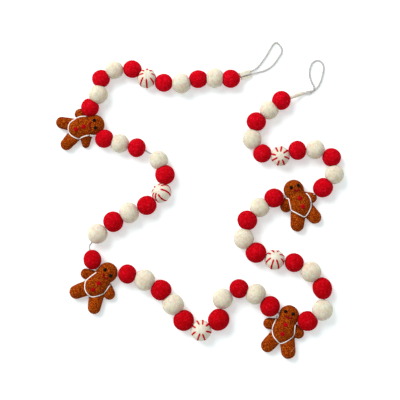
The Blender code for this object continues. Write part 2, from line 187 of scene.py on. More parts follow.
# The first loop, in millimetres, from the tab and back into it
FIRST_LOOP = (
    (70.5, 205.6, 5.2), (76.8, 208.9, 3.9), (82, 211.4, 2.3), (87.2, 215.3, 1.6), (94, 223.8, 1.55),
    (100, 232.4, 1.55), (105.5, 242, 1.55), (109.8, 248.9, 1.55), (115.1, 252.2, 1.55),
    (120.4, 247.6, 1.55), (123.2, 242, 1.55), (122.6, 236.4, 1.55), (119, 230.6, 1.55),
    (113, 221.8, 1.55), (106.5, 215.2, 1.55), (98, 210.3, 1.6), (87.2, 207.1, 2.1), (77.6, 204.9, 3.8),
    (70.5, 202.8, 5.2),
)

# The doubled end: its way and its radius where it is whipped, then the middle between both strands
WHIPPING = (
    (133, 167.4, 12.4, 2), (135.8, 168.5, 12, 2.5), (138.6, 169.8, 10.8, 2.9), (144.6, 172.4, 7.4, 3.3),
    (149.2, 174.1, 5.2, 3.1), (153.8, 175.4, 3.7, 2.8), (157.5, 176.2, 3.1, 2.4),
)
WHIPPING_STEP = 0.25 * MM
WHIPPING_TURN = 1.0 * MM
WHIPPING_INSET = 0.3 * MM
WHIPPING_THREAD = (0.4 * MM, 0.52 * MM)
TURN_POINTS = 14
DOUBLED = ((153, 175.2, 3.6), (158, 176.3, 2.7), (164.6, 176.9, 2.3), (170.2, 179.4, 2.1))
DOUBLED_TWIST = (0.25 * math.pi, 1.45 * math.pi)
SECOND_LOOP = (
    (174.3, 182, 1.8), (178.5, 187, 1.55), (181.8, 193.5, 1.55), (184.6, 203.3, 1.55),
    (186.4, 214.4, 1.55), (183, 222.6, 1.55), (176.2, 225.2, 1.55), (169.2, 221.4, 1.55),
    (165.3, 212, 1.55), (165.3, 201.3, 1.55), (168.2, 192.3, 1.55), (171.8, 185.5, 1.6),
)


def seen(x, y):
    """Where a point of the picture is, in metres, seen straight from above."""
    pixel = PICTURE_WIDTH / PICTURE_PIXELS
    return (x - PICTURE_PIXELS / 2) * pixel, PICTURE_CENTRE[1] - (y - PICTURE_PIXELS / 2) * pixel


def seen_way(points):
    """Points of the picture as a way on the table."""
    return [(*seen(*point), 0.0) for point in points]


# By points of the picture, the rays of each peppermint ball: the pole where they meet, then each ray
# from its inner end outwards
RAYS = {
    6: ((146.8, 75), (
        ((144, 74), (139, 75.5)), ((143.7, 77.5), (141, 83)), ((146.5, 79), (147, 86.5)),
        ((150, 78), (153, 82)), ((151, 74), (156, 77)), ((149.3, 71.5), (153, 70.3)),
        ((147, 71), (147.4, 68.8)), ((144.6, 72), (141.8, 70.2)),
    )),
    18: ((156.9, 190.2), (
        ((155.6, 187.8), (155, 187.2)), ((154.1, 189.6), (152.5, 190.9)), ((154.6, 192.5), (152.9, 196.1)),
        ((157, 192.9), (155.6, 195.2), (156.3, 199.8)), ((158.2, 193.9), (160.4, 197.4), (166, 200.5)),
        ((160.4, 189.3), (164.6, 190.4), (168.2, 192.5), (169.9, 194.6)),
        ((160.6, 186.2), (163.9, 185.1), (167.5, 185.8), (169.4, 187.8)),
        ((158.2, 185.6), (160.4, 183.9), (162.7, 183.2)),
    )),
    30: ((201, 328), (
        ((199.5, 324.5), (197, 321)), ((202.5, 324.5), (202.8, 320)), ((205.5, 326), (209, 323.5)),
        ((205.5, 330.5), (210.5, 332)), ((202.5, 333), (204.5, 338.5)), ((200, 332.5), (198, 338.5)),
        ((196, 331), (192, 334.5)), ((196, 327.5), (192.5, 325.5)),
    )),
    42: ((274.5, 256), (
        ((274, 252.5), (272, 250)), ((276.5, 252), (279, 250)), ((279, 254.5), (284.5, 255.5)),
        ((280, 258), (283.5, 262.5)), ((276, 259), (278.5, 268.5)), ((273.5, 259), (271, 268)),
        ((271, 257.5), (266, 262.5)), ((271, 254), (266.5, 253)),
    )),
    54: ((280.4, 155.5), (
        ((278, 152.5), (275, 146.5)), ((280.3, 152.3), (281.6, 146.5)), ((282.7, 153.7), (289, 149.5)),
        ((283.4, 156.6), (289.4, 159)), ((281.8, 159.3), (284.1, 164.4)), ((279, 160.2), (277.7, 164.6)),
        ((277.5, 157.5), (272.3, 160.4)), ((276.1, 155.4), (271.7, 154.1)),
    )),
}

# Each figure's face, buttons and icing cord
Face = namedtuple("Face", "eyes mouth buttons icing")
FACES = {
    12: Face(
        ((94.4, 120.6), (95.6, 127.9)), ((91.2, 122.3), (89.9, 125), (90.6, 127.8)),
        ((84, 127), (76.3, 129.3)),
        ((88.6, 116.5), (87, 116.3), (83.5, 116.4), (79.6, 116.9), (76.8, 118), (74.4, 119.6),
         (70.1, 122.8), (68.4, 127), (68.6, 131.6), (70.8, 135), (74.6, 137.5), (77.6, 138.6),
         (79.6, 138.6), (81.3, 137.6), (84.8, 136.3), (88.7, 135.2)),
    ),
    24: Face(
        ((105.3, 269.6), (110.9, 275.3)), ((103.3, 273.5), (104.3, 277.2), (107.9, 277.7)),
        ((99.1, 283), (93.4, 289.5)),
        ((96.5, 272.3), (95.5, 273.1), (91.4, 276), (87.3, 279.4), (85.6, 281.6), (84.9, 286),
         (85.2, 289.4), (86.9, 292.9), (89.4, 295.6), (92.1, 296.8), (95.5, 296.5), (99, 295.5),
         (103.1, 293.9), (105.9, 290.8), (108.6, 287), (110.2, 284.9)),
    ),
    36: Face(
        ((285.4, 311.2), (292.8, 313.7)), ((285.2, 315.3), (288, 317.6), (291.6, 317.7)),
        ((285.2, 324.5), (282.2, 333.7)),
        ((277.4, 316.4), (276.8, 317.6), (275.3, 321), (273.4, 324.9), (272.4, 329.1), (272.6, 333.3),
         (274.1, 337.1), (276.8, 340.6), (279.3, 343), (281, 343.5), (284.9, 342.1), (289.4, 339.4),
         (292.9, 336.7), (294.1, 334.1), (294.6, 329.5), (295, 325.9), (295.7, 324.7), (297.1, 324.9),
         (299.6, 325.9)),
    ),
    48: Face(
        ((291.1, 187.6), (297.9, 185.5)), ((293.4, 190.1), (296.3, 190.9), (299, 189.1)),
        ((299.8, 198.1), (302.7, 206.4)),
        ((283.6, 193.6), (284.9, 196.6), (286.5, 198.2), (288.6, 199), (289.2, 201.6), (290.1, 205.6),
         (291.2, 210), (292.8, 211.2), (297.3, 213.6), (302.6, 216.4), (304.6, 216.6), (306.4, 215.3),
         (308.5, 212.2), (310.6, 207.7), (311, 204.6), (310.6, 200.2), (309.3, 196.9), (307.7, 194.6),
         (306, 193.4)),
    ),
}

# One pale fibre on a figure's leg
STRAY_FIGURE = 36
STRAY_FIBRE = ((295.2, 347.1), (292.6, 349.8), (290.2, 351.8))
STRAY_RADIUS = 0.22 * MM
STRAY_RISE = 0.15 * MM

# The sheen of the cream wool
PALE_SHEEN = (1.0, 0.95, 0.85)
# The red wool's dye deepens from the first of these Y places to the second, and its patches shift that
DYE_LIMITS = (0.16, -0.18)
DYE_PATCHES = 23.0
DYE_UNEVEN = 0.9
DYE_SPREAD = (0.2, 1.35)

# The balls: how uneven they are, and how they press against each other and on the table.
# For each axis of the lumps: the pace of their waves, and the shift from one ball to the next
BALL_SUBDIVISIONS = 5
BALL_SWELL = 1.015
LUMPINESS = 0.025
LUMP_WAVES = ((3.0, 1.3), (3.6, 2.1), (2.7, 0.7))
DETAIL_WAVES = ((2.1, 0.010), (5.2, 0.0065), (11.0, 0.0035))
FLAT_DEPTH = 1.1 * MM
CONTACT_GAP = 0.04 * MM
CONTACT_EASE = 0.32 * MM
CONTACT_CURVE = 22.0
CONTACT_SHIFT = 2.7
SEED_SHIFT = (7.3, 3.1, 5.7)

# The figures' skin and what is sewn on it
FIGURE_VOXEL = 0.95 * MM
FIGURE_SMOOTHING = 4
FIGURE_DETAIL = ((150.0, 0.34 * MM), (390.0, 0.2 * MM))
FIGURE_GAP = 0.1 * MM
POINTS_AT_ONCE = 2000
ICING_STEP = 0.4 * MM
ICING_RADIUS = 0.92 * MM
ICING_PITCH = 4.4 * MM
ICING_CORE = 0.78
ICING_RISE = 0.9
ICING_END_DROPS = (1.6, 0.6)
GROOVE_DEPTH = 0.6 * MM
GROOVE_WIDTH = 1.5 * MM
EYE_RADIUS = 2.6 * MM
EYE_RISE = 0.25
EYE_DEPTH = 0.85
BUTTON_RADIUS = 3.25 * MM
BUTTON_DEPTH = 0.42
BUTTON_UNEVEN = 0.14
STITCHES = 3
STITCH_STEP = 0.3 * MM
STITCH_RADIUS = 1.08 * MM
STITCH_BREADTH = 1.15
STITCH_END_RISE = 0.05
STITCH_RISE = 0.7

# How near to a ball's rim the seen points may be, then the rays: their section, the pace and size of their
# unevenness, and how they run on round the far side
RIM = 0.985
RAY_HALF_WIDTH = 1.4 * MM
RAY_THINNEST = 0.05 * MM
RAY_HEIGHT = 0.5 * MM
RAY_LOW_END = 0.35
RAY_INSET = 0.1 * MM
RAY_UNEVEN = (240.0, 0.2)
RAY_TAPER = 4.0
RAY_STEP = 0.035
RAY_TURN = 0.14
RAY_REACH = math.radians(148)
RAY_LEAST_POINTS = 12
RAY_MOST_POINTS = 40

# Loose fibres: how many stand on a square millimetre, then their lengths, heights and radii, in millimetres
BALL_FUZZ = 0.05
FIGURE_FUZZ = 0.16
FIBRE_LENGTHS = (1.0, 2.8)
FIBRE_HEIGHTS = (0.15, 0.75)
FIBRE_RADII = (0.055, 0.05, 0.04, 0.02)
FIBRE_CORNERS = 3
FIBRE_CURL = 0.6
FIBRE_ROOT = 0.12 * MM
BALL_SEED = 20
FIGURE_SEED = 48
# They keep this high above the table, and this far from where other beads press in
FIBRE_LOWEST = 1.5 * MM
CONTACT_CLEAR = 1.2 * MM
BALL_CLEAR = 16.5 * MM

# Red fibres that cling to the cream balls beside the red ones, to each square millimetre
LINT_DENSITY = 0.14
LINT_START = 0.8 * MM
LINT_REACH = 4.5 * MM


def placed(x, y, z=0.0):
    """A point of the layout in millimetres, as metres from the origin."""
    return np.array((x - LAYOUT_CENTRE[0], y - LAYOUT_CENTRE[1], z)) * MM


def placed_way(points):
    return [placed(*point[:3]) for point in points]


def unit(vector):
    return vector / np.linalg.norm(vector)


def norms(vectors):
    return np.linalg.norm(vectors, axis=1)


def units(vectors):
    return vectors / norms(vectors)[:, None]


def runs_along(path):
    """The direction of a path at each of its points."""
    return units(np.gradient(path, axis=0))


def walked_along(path):
    """How far each point of a path is from its start."""
    return np.concatenate(([0.0], np.cumsum(norms(np.diff(path, axis=0)))))


def resampled(values, places, wanted):
    """Rows that are known at some places, at the wanted places."""
    return np.stack([np.interp(wanted, places, values[:, axis]) for axis in range(3)], axis=1)


def kind_of(number):
    if number % REPEAT == 0:
        return "gingerbread"
    if number % REPEAT == PEPPERMINT_AT:
        return "peppermint"
    return "red" if number % 2 else "cream"


def node_of(number):
    return f"bead_{number:02d}_{kind_of(number)}"


def bead_centre(number):
    bead = BEADS[number - 1]
    if isinstance(bead, Neck):
        return placed(bead.x, bead.y, NECK_HEIGHT / MM)
    return placed(bead.x, bead.y, bead.across / 2 - FLAT_DEPTH / MM)


def string_direction(number):
    """The level direction in which the string runs through a bead."""
    run = bead_centre(min(number + 1, len(BEADS))) - bead_centre(max(number - 1, 1))
    run[2] = 0.0
    return unit(run)


def linked(name, data):
    """An object of the scene with this data."""
    obj = bpy.data.objects.new(name, data)
    bpy.context.scene.collection.objects.link(obj)
    return obj


def set_inputs(node, **values):
    for key, value in values.items():
        node.inputs[key.replace("_", " ")].default_value = value


class Graph:
    """Shader nodes of one material."""

    def __init__(self, name):
        self.material = bpy.data.materials.new(name)
        self.material.use_nodes = True
        self.nodes = self.material.node_tree.nodes
        self.links = self.material.node_tree.links
        self.shader = self.nodes["Principled BSDF"]
        self.place = self.add("ShaderNodeTexCoord").outputs["Object"]

    def add(self, kind, **settings):
        node = self.nodes.new(kind)
        for key, value in settings.items():
            setattr(node, key, value)
        return node

    def put(self, socket, value):
        if isinstance(value, bpy.types.NodeSocket):
            self.links.new(value, socket)
        else:
            socket.default_value = value

    def math(self, operation, first, second=0.0):
        node = self.add("ShaderNodeMath", operation=operation)
        self.put(node.inputs[0], first)
        self.put(node.inputs[1], second)
        return node.outputs[0]

    def noise(self, scale, detail, roughness, stretch=None, turn=None):
        where = self.place
        if stretch:
            mapping = self.add("ShaderNodeMapping")
            set_inputs(mapping, Scale=stretch, Rotation=turn)
            self.put(mapping.inputs["Vector"], where)
            where = mapping.outputs[0]
        node = self.add("ShaderNodeTexNoise")
        self.put(node.inputs["Vector"], where)
        set_inputs(node, Scale=scale, Detail=detail, Roughness=roughness)
        return node.outputs["Fac"]

    def spread(self, value, low, high):
        node = self.add("ShaderNodeMapRange")
        self.put(node.inputs["Value"], value)
        set_inputs(node, From_Min=low, From_Max=high)
        return node.outputs["Result"]

    def mixed(self, share, first, second):
        node = self.add("ShaderNodeMix", data_type="RGBA")
        self.put(node.inputs["Factor"], share)
        for socket, value in ((node.inputs[6], first), (node.inputs[7], second)):
            self.put(socket, (*value, 1.0) if isinstance(value, tuple) else value)
        return node.outputs[2]

    def bump(self, height, strength, distance):
        node = self.add("ShaderNodeBump")
        self.put(node.inputs["Height"], height)
        set_inputs(node, Strength=strength, Distance=distance)
        self.put(self.shader.inputs["Normal"], node.outputs["Normal"])

    def finish(self, colour, roughness, sheen, shine, sheen_weight, **more):
        """A woollen or cotton surface, with a soft sheen of its own colour."""
        self.put(self.shader.inputs["Base Color"], colour)
        set_inputs(
            self.shader, Roughness=roughness, Specular_IOR_Level=shine,
            Sheen_Weight=sheen_weight, Sheen_Roughness=0.6, Sheen_Tint=(*sheen, 1.0), **more,
        )
        return self.material


def felt(name, dark, base, light, sheen=PALE_SHEEN, blotch=150.0, mottle=560.0, contrast=0.5, glow=0.0,
         deep=None):
    """Hand-rolled wool: cloudy patches, short crossing fibres, thin creases with painted shade in them, and a
    matted surface.

    With a deep colour, the wool's dye changes to it towards -Y, a little unevenly.
    """
    g = Graph(name)
    cloud = g.spread(g.noise(blotch, 3.0, 0.55), 0.34, 0.66)
    flecks = g.noise(mottle, 2.5, 0.6)
    matted = g.noise(1300.0, 5.0, 0.68)
    one_way = g.noise(1.0, 3.0, 0.6, stretch=(1500.0, 220.0, 650.0), turn=(0.4, 0.3, 0.9))
    other_way = g.noise(1.0, 3.0, 0.6, stretch=(240.0, 1400.0, 600.0), turn=(1.1, -0.5, 0.2))
    strands = g.math("MAXIMUM", one_way, other_way)
    folded = g.noise(1.0, 2.5, 0.5, stretch=(125.0, 78.0, 145.0), turn=(0.3, 0.5, 0.7))
    crease = g.spread(g.math("ABSOLUTE", g.math("SUBTRACT", folded, 0.5)), 0.026, 0.0)
    if deep:
        across = g.add("ShaderNodeSeparateXYZ")
        g.put(across.inputs[0], g.place)
        patches = g.math("MULTIPLY", g.noise(DYE_PATCHES, 1.0, 0.5), DYE_UNEVEN)
        dye = g.math("ADD", g.spread(across.outputs["Y"], *DYE_LIMITS), patches)
        base = g.mixed(g.spread(dye, *DYE_SPREAD), base, deep)
    colour = base
    for pattern, limits, strength, other in (
        (cloud, (1.0, 0.0), 0.45, dark),
        (flecks, (0.53, 0.7), contrast, light),
        (strands, (0.58, 0.76), 0.7 * contrast, light),
        (flecks, (0.47, 0.32), contrast, dark),
        (matted, (0.46, 0.34), 0.6 * contrast, dark),
    ):
        colour = g.mixed(g.math("MULTIPLY", g.spread(pattern, *limits), strength), colour, other)
    # Painted shade: the creases are darkened in colour as well as sunk in the bump.
    colour = g.mixed(g.math("MULTIPLY", crease, 0.75), colour, dark)
    height = g.math("ADD", g.math("MULTIPLY", matted, 0.5), g.math("MULTIPLY", strands, 0.5))
    height = g.math("ADD", height, g.math("MULTIPLY", flecks, 0.45))
    height = g.math("SUBTRACT", height, g.math("MULTIPLY", crease, 0.3))
    g.bump(height, 0.75, 0.7 * MM)
    return g.finish(
        colour, 0.95, sheen, 0.02, 0.03,
        Subsurface_Weight=glow, Subsurface_Radius=(1.0, 0.3, 0.15), Subsurface_Scale=4.0 * MM,
    )


def plain_fibre(name, colour, sheen=PALE_SHEEN):
    """Loose single fibres of the wool, too thin to show a pattern."""
    return Graph(name).finish((*colour, 1.0), 0.9, sheen, 0.05, 0.1)


def thread(name, dark, light, glow=0.0):
    """Spun cotton or wool yarn: fine fibres along it, with painted shade darkening the grooves between them.
    """
    g = Graph(name)
    fibre = g.noise(2600.0, 4.0, 0.65)
    # Painted shade: the colour darkens where the fibres' bump sinks, and lightens where it rises.
    colour = g.mixed(g.spread(fibre, 0.35, 0.62), dark, light)
    colour = g.mixed(g.math("MULTIPLY", g.spread(g.noise(260.0, 2.0, 0.5), 0.4, 0.7), 0.35), colour, dark)
    g.bump(fibre, 0.5, 0.15 * MM)
    return g.finish(
        colour, 0.8, light, 0.06, 0.08,
        Subsurface_Weight=glow, Subsurface_Radius=(1.0, 1.0, 1.0), Subsurface_Scale=1.5 * MM,
    )


def glossy_bead(name):
    g = Graph(name)
    smear = g.noise(900.0, 2.0, 0.5)
    g.put(g.shader.inputs["Roughness"], g.math("ADD", 0.2, g.math("MULTIPLY", smear, 0.16)))
    colour = g.mixed(smear, (0.003, 0.003, 0.003), (0.01, 0.01, 0.011))
    g.put(g.shader.inputs["Base Color"], colour)
    set_inputs(g.shader, Specular_IOR_Level=0.012)
    return g.material


MATERIALS = {
    # The red wool's light colour, in its specks and fibres, is partly its own paler fibres and partly painted
    # highlight.
    "red": felt(
        "felt_red", (0.31, 0.0003, 0.0015), (0.62, 0.001, 0.009), (0.93, 0.02, 0.055), (1.0, 0.05, 0.1),
        blotch=120.0, mottle=430.0, deep=(0.43, 0.0003, 0.0015),
    ),
    "cream": felt("felt_cream", (0.57, 0.45, 0.31), (0.725, 0.715, 0.575), (0.755, 0.76, 0.665), glow=0.62),
    "peppermint": felt(
        "felt_peppermint", (0.62, 0.53, 0.42), (0.75, 0.735, 0.61), (0.82, 0.82, 0.73), glow=0.2,
    ),
    "gingerbread": felt(
        "felt_gingerbread", (0.08, 0.004, 0.0003), (0.295, 0.034, 0.001), (0.57, 0.125, 0.007),
        (1.0, 0.4, 0.1), blotch=240.0, mottle=740.0, contrast=2.1,
    ),
    "button": felt(
        "button_felt", (0.26, 0.0005, 0.003), (0.42, 0.001, 0.007), (0.58, 0.006, 0.018), (1.0, 0.1, 0.1),
        contrast=0.6,
    ),
    "tab": felt("tab_felt", (0.58, 0.51, 0.39), (0.8, 0.785, 0.67), (0.88, 0.875, 0.79), glow=0.2),
    "ray": thread("stitched_rays", (0.4, 0.0006, 0.007), (0.62, 0.0015, 0.018)),
    "mouth": thread("mouth_thread", (0.18, 0.001, 0.003), (0.32, 0.002, 0.009)),
    "icing": thread("icing_cord", (0.95, 0.94, 0.92), (1.0, 0.995, 0.985)),
    "string": thread("cotton_string", (0.54, 0.525, 0.5), (0.72, 0.705, 0.68), glow=0.5),
    "whipping": thread("whipping_thread", (0.62, 0.56, 0.45), (0.86, 0.82, 0.7)),
    "eye": glossy_bead("bead_black"),
    "stray": plain_fibre("stray_fibre", (0.6, 0.3, 0.14), (1.0, 0.8, 0.6)),
    "fuzz_red": plain_fibre("fuzz_red", (0.56, 0.004, 0.016), (1.0, 0.1, 0.15)),
    "fuzz_cream": plain_fibre("fuzz_cream", (0.7, 0.64, 0.5)),
    "fuzz_peppermint": plain_fibre("fuzz_peppermint", (0.74, 0.69, 0.57)),
    "fuzz_gingerbread": plain_fibre("fuzz_gingerbread", (0.33, 0.08, 0.01), (1.0, 0.5, 0.2)),
}


def piece(name, points, faces, material, slot):
    """A mesh that rides with the garland and takes one of this script's materials; its slot argument is not
    used.
    """
    mesh = bpy.data.meshes.new(name)
    mesh.from_pydata(np.asarray(points).tolist(), [], faces)
    mesh.update()
    mesh.materials.append(MATERIALS[material])
    mesh.shade_smooth()
    obj = linked(name, mesh)
    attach(obj, "root")
    return obj


def even_route(points, step):
    """Points at even steps on a smooth curve through the given ones."""
    points = np.asarray(points, float)
    padded = np.vstack((2 * points[0] - points[1], points, 2 * points[-1] - points[-2]))
    t = np.linspace(0, 1, 16, endpoint=False)[:, None]
    parts = []
    for before, start, end, after in zip(padded, padded[1:], padded[2:], padded[3:]):
        parts.append(
            0.5 * (2 * start + (end - before) * t + (2 * before - 5 * start + 4 * end - after) * t**2
                   + (3 * start - 3 * end + after - before) * t**3)
        )
    fine = np.vstack((*parts, points[-1:]))
    walked = walked_along(fine)
    return resampled(fine, walked, np.linspace(0, walked[-1], max(2, round(walked[-1] / step) + 1)))


def route_length(path):
    return float(norms(np.diff(path, axis=0)).sum())


def sideways(path):
    """Two directions square to the path at each of its points, which turn with it as little as they can."""
    runs = runs_along(path)
    first = np.cross(runs[0], UP)
    sides = []
    for run in runs:
        first = unit(first - run * (first @ run))
        sides.append(first)
    sides = np.array(sides)
    return sides, np.cross(runs, sides)


def quads(rings, corners):
    """The faces between each ring of corners and the next."""
    faces = []
    for here in range(0, (rings - 1) * corners, corners):
        there = here + corners
        for corner in range(corners):
            beside = (corner + 1) % corners
            faces.append((here + corner, here + beside, there + beside, there + corner))
    return faces


def tube(centres, sides, ups, half_width, half_height, corners):
    """Rings of corners round the centres, joined into a closed tube."""
    angles = np.linspace(0, 2 * math.pi, corners, endpoint=False)
    half_width = np.broadcast_to(half_width, len(centres))
    half_height = np.broadcast_to(half_height, len(centres))
    rings = (
        centres[:, None]
        + sides[:, None] * (half_width[:, None] * np.cos(angles))[:, :, None]
        + ups[:, None] * (half_height[:, None] * np.sin(angles))[:, :, None]
    )
    points = np.vstack((rings.reshape(-1, 3), centres[:1], centres[-1:]))
    faces = quads(len(centres), corners)
    last = (len(centres) - 1) * corners
    for corner in range(corners):
        beside = (corner + 1) % corners
        faces.append((len(points) - 2, beside, corner))
        faces.append((len(points) - 1, last + corner, last + beside))
    return points, faces


def joined(shapes):
    """Several point-and-face pairs as one."""
    all_points, all_faces, before = [], [], 0
    for points, faces in shapes:
        all_points.append(points)
        all_faces.extend([tuple(before + corner for corner in face) for face in faces])
        before += len(points)
    return np.vstack(all_points), all_faces


def twisted(path, radius, pitch, corners=6):
    """A cord of several strands laid round each other."""
    sides, ups = sideways(path)
    strand = radius / (1 + 1 / math.sin(math.pi / STRANDS)) * STRAND_PRESS
    offset = radius - strand
    walked = walked_along(path)
    shapes = []
    for number in range(STRANDS):
        angle = 2 * math.pi * (number / STRANDS + walked / pitch)
        cosine, sine = np.cos(angle)[:, None], np.sin(angle)[:, None]
        out = sides * cosine + ups * sine
        round_it = ups * cosine - sides * sine
        shapes.append(tube(path + out * offset, out, round_it, strand, strand, corners))
    return joined(shapes)


def rough(point, scale, seed):
    return noise.noise(Vector(point) * scale + Vector([seed * shift for shift in SEED_SHIFT]))


def bumps(points, waves, seed):
    """Fine unevenness: the sum of these waves at each point."""
    return np.array([sum(size * rough(point, pace, seed) for pace, size in waves) for point in points])


def lump(directions, number):
    """How much farther out than a true ellipsoid a hand-rolled ball is in these directions."""
    waves = sum(
        np.sin(pace * directions[:, axis] + shift * number) for axis, (pace, shift) in enumerate(LUMP_WAVES)
    )
    return 1 + LUMPINESS * waves / len(LUMP_WAVES)


def contacts(number):
    """Each neighbouring ball's contact: a point, an outward direction and how curved the contact is."""
    here = BEADS[number - 1]
    centre = bead_centre(number)
    found = []
    for other in (number - 1, number + 1):
        if not 1 <= other <= len(BEADS):
            continue
        if isinstance(BEADS[other - 1], Neck) or min(number, other) in BENDS:
            continue
        across = bead_centre(other) - centre
        apart = np.linalg.norm(across)
        own, its = here.along / 2 * MM, BEADS[other - 1].along / 2 * MM
        reach = (apart**2 + own**2 - its**2) / (2 * apart)
        curve = CONTACT_CURVE * math.sin(CONTACT_SHIFT * min(number, other)) * (1 if other > number else -1)
        found.append((centre + across / apart * (reach - CONTACT_GAP), across / apart, curve))
    return found


def eased(past):
    """A soft corner: nothing well inside, and all of what is well outside."""
    return CONTACT_EASE * np.logaddexp(0.0, past / CONTACT_EASE)


def ball_points(number, directions, detail=True):
    """The points of a ball's surface in these directions from its centre."""
    ball = BEADS[number - 1]
    centre = bead_centre(number)
    along = string_direction(number)
    across = np.cross(UP, along)
    reach = lump(directions, number)
    if detail:
        reach = reach + bumps(directions, DETAIL_WAVES, number)
    reach = reach * BALL_SWELL * MM / 2
    points = (
        centre
        + along * ((directions @ along) * ball.along * reach)[:, None]
        + across * ((directions @ across) * ball.across * reach)[:, None]
        + UP * (directions[:, 2] * ball.across * reach)[:, None]
    )
    for on_plane, outward, curve in contacts(number):
        offset = (points - on_plane) @ outward
        beside = points - on_plane - offset[:, None] * outward
        past = offset - curve * (beside**2).sum(axis=1) / 2
        points = points - eased(past)[:, None] * outward
    points[:, 2] += eased(-points[:, 2])
    return points


def ball_reach(number, outward):
    """How far a ball reaches from its centre towards each of these points."""
    ball = BEADS[number - 1]
    along = string_direction(number)
    across = np.cross(UP, along)
    stretched = (
        along * ((outward @ along) / ball.along)[:, None]
        + across * ((outward @ across) / ball.across)[:, None]
        + UP * (outward[:, 2] / ball.across)[:, None]
    ) * 2 / MM
    share = norms(stretched)
    return norms(outward) / share * BALL_SWELL * lump(stretched / share[:, None], number)


def sphere_grid(subdivisions):
    bm = bmesh.new()
    bmesh.ops.create_icosphere(bm, subdivisions=subdivisions, radius=1.0)
    directions = np.array([vert.co.normalized() for vert in bm.verts])
    faces = [tuple(vert.index for vert in face.verts) for face in bm.faces]
    bm.free()
    return directions, faces


def fuzz(points, faces, density, rng, keep, beside):
    """Short loose fibres that stand and curl out of a felt surface.

    keep says which roots stay, given what is beside this surface.
    """
    faces = np.array(faces)
    corners = points[faces]
    normal = np.cross(corners[:, 1] - corners[:, 0], corners[:, 2] - corners[:, 0])
    area = norms(normal) / 2
    normal /= np.maximum(2 * area, 1e-12)[:, None]
    count = int(area.sum() / MM**2 * density)
    chosen = rng.choice(len(faces), count, p=area / area.sum())
    share = rng.dirichlet((1.0, 1.0, 1.0), count)
    roots = (corners[chosen] * share[:, :, None]).sum(axis=1)
    outward = normal[chosen]
    kept = keep(roots, beside) & (roots[:, 2] > FIBRE_LOWEST)
    roots, outward = roots[kept], outward[kept]
    count = len(roots)
    lean = rng.normal(size=(count, 3))
    lean -= outward * (lean * outward).sum(axis=1)[:, None]
    lean = units(lean)
    turn = np.cross(outward, lean)
    length = rng.uniform(*FIBRE_LENGTHS, count) * MM
    height = rng.uniform(*FIBRE_HEIGHTS, count) * MM
    curl = rng.uniform(-FIBRE_CURL, FIBRE_CURL, count)
    angles = np.linspace(0, 2 * math.pi, FIBRE_CORNERS, endpoint=False)
    shapes = []
    for at, size in zip(np.linspace(0, 1, len(FIBRE_RADII)), np.array(FIBRE_RADII) * MM):
        rise = height * (1 - (1 - at) ** 2) - FIBRE_ROOT * (1 - at)
        middle = (
            roots + outward * rise[:, None] + lean * (length * at)[:, None]
            + turn * (length * curl * at**2)[:, None]
        )
        for angle in angles:
            shapes.append(middle + (outward * math.cos(angle) + turn * math.sin(angle)) * size)
    made = np.stack(shapes, axis=1).reshape(-1, 3)
    made[:, 2] = np.maximum(made[:, 2], 0.0)
    walls = np.array(quads(len(FIBRE_RADII), FIBRE_CORNERS))
    each = len(shapes)
    caps = np.array(((2, 1, 0), (each - 3, each - 2, each - 1)))
    starts = np.arange(count)[:, None, None] * each
    return made, [*(walls + starts).reshape(-1, 4).tolist(), *(caps + starts).reshape(-1, 3).tolist()]


def make_camera():
    data = bpy.data.cameras.new("camera")
    data.sensor_width = SENSOR
    data.lens = SENSOR * (CAMERA_HEIGHT - BEAD_LEVEL) / PICTURE_WIDTH
    data.clip_end = 100.0
    camera = linked("camera", data)
    camera.location = (*PICTURE_CENTRE, CAMERA_HEIGHT)
    bpy.context.scene.camera = camera


def lifted(path):
    """The path of a cord, laid on the table and not in it."""
    path[:, 2] = np.maximum(path[:, 2], STRING_RADIUS)
    return path


def cord_piece(name, path, pitch, corners):
    cord = piece(name, *twisted(path, STRING_RADIUS, pitch, corners), "string", "cotton_string")
    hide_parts("string")
    return cord


def make_loop(name, points):
    """A hanging loop, which leaves the object at one point and comes back to it."""
    loop = lifted(even_route(points, LOOP_STEP))
    cord = cord_piece(name, loop, LOOP_PITCH, 8)


def make_string():
    """The threaded string and both hanging loops."""
    points = [placed(*STRING_START)]
    for number in range(1, len(BEADS) + 1):
        points.append(bead_centre(number))
        points.extend(placed_way(BENDS.get(number, ())))
    points.append(placed(*WHIPPING[1][:3]))
    cord_piece("string_through_beads", even_route(points, STRING_STEP), STRING_PITCH, 6)
    make_loop("hanging_loop_1", placed_way(FIRST_LOOP))

    middle = even_route(placed_way(DOUBLED), LOOP_STEP)
    sides, ups = sideways(middle)
    angle = np.linspace(*DOUBLED_TWIST, len(middle))
    beside = (sides * np.cos(angle)[:, None] + ups * np.sin(angle)[:, None]) * STRING_RADIUS
    there, back = lifted(middle + beside), lifted(middle - beside)
    ends = (there, back) if there[-1][1] < back[-1][1] else (back, there)
    way = [*ends[0][::8], *placed_way(SECOND_LOOP), *ends[1][::-8]]
    make_loop("hanging_loop_2", way)


def make_whipping():
    """The thread that is wound round the doubled end."""
    core = even_route(placed_way(WHIPPING), WHIPPING_STEP)
    walked = np.linspace(0, 1, len(core))
    radius = np.interp(walked, np.linspace(0, 1, len(WHIPPING)), [point[3] * MM for point in WHIPPING])
    sides, ups = sideways(core)
    width = radius[::3] - WHIPPING_INSET
    inner = tube(core[::3], sides[::3], ups[::3], width, width, 12)
    turns = route_length(core) / WHIPPING_TURN
    fine = np.linspace(0, 1, int(turns * TURN_POINTS))
    angle = fine * turns * 2 * math.pi
    side, up = resampled(sides, walked, fine), resampled(ups, walked, fine)
    out = side * np.cos(angle)[:, None] + up * np.sin(angle)[:, None]
    coil = resampled(core, walked, fine) + out * (np.interp(fine, walked, radius) - WHIPPING_INSET)[:, None]
    wrapped = tube(coil, out, np.cross(runs_along(coil), out), *WHIPPING_THREAD, 6)
    whipping = piece("whipped_end", *joined((inner, wrapped)), "whipping", "cotton_string")
    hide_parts("string")


